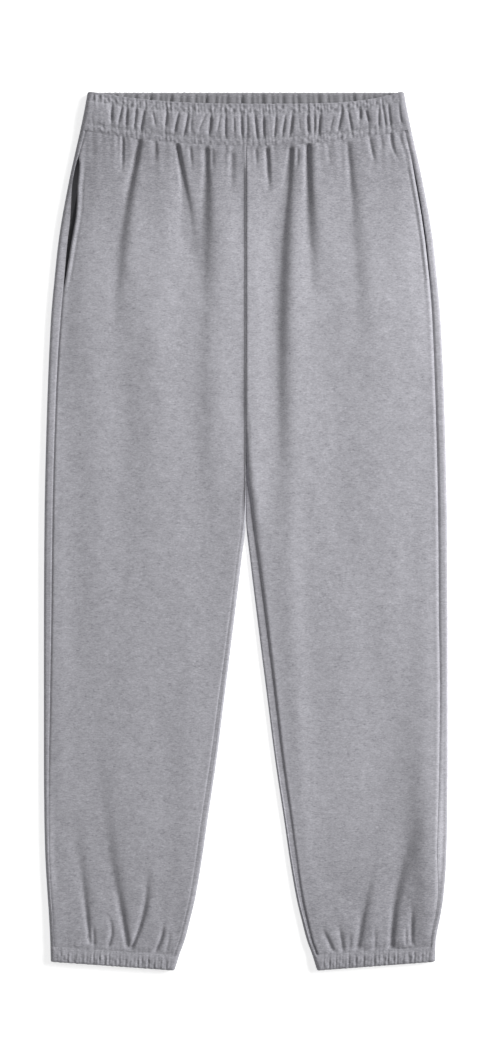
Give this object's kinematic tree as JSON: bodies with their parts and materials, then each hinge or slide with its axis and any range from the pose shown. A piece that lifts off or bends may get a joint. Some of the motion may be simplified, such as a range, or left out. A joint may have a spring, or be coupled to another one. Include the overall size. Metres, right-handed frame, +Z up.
{
  "type": "jogger sweatpants",
  "caption": "Loose cuffed jogger sweatpants laid flat, with a gathered elastic waistband, side seam pockets and gathered elastic hems.",
  "frame": {"origin": "on the surface the garment lies on, under the middle of its box", "axes": "+Z up off the surface, out of the front; +Y towards the waist; +X to the right as seen from above the front"},
  "size_m": [0.46, 0.9999, 0.012],
  "materials": {
    "fleece": "brushed-back heather grey fleece jersey",
    "pocketing": "plain grey jersey pocketing",
    "thread": "grey spun sewing thread"
  },
  "bodies": {
    "root": {"waistband": "fleece", "front_left": "fleece", "front_right": "fleece", "back_left": "fleece", "back_right": "fleece", "hem_casing_left": "fleece", "hem_casing_right": "fleece", "pocket_bag_left": "pocketing", "pocket_bag_right": "pocketing"}
  },
  "joints": []
}
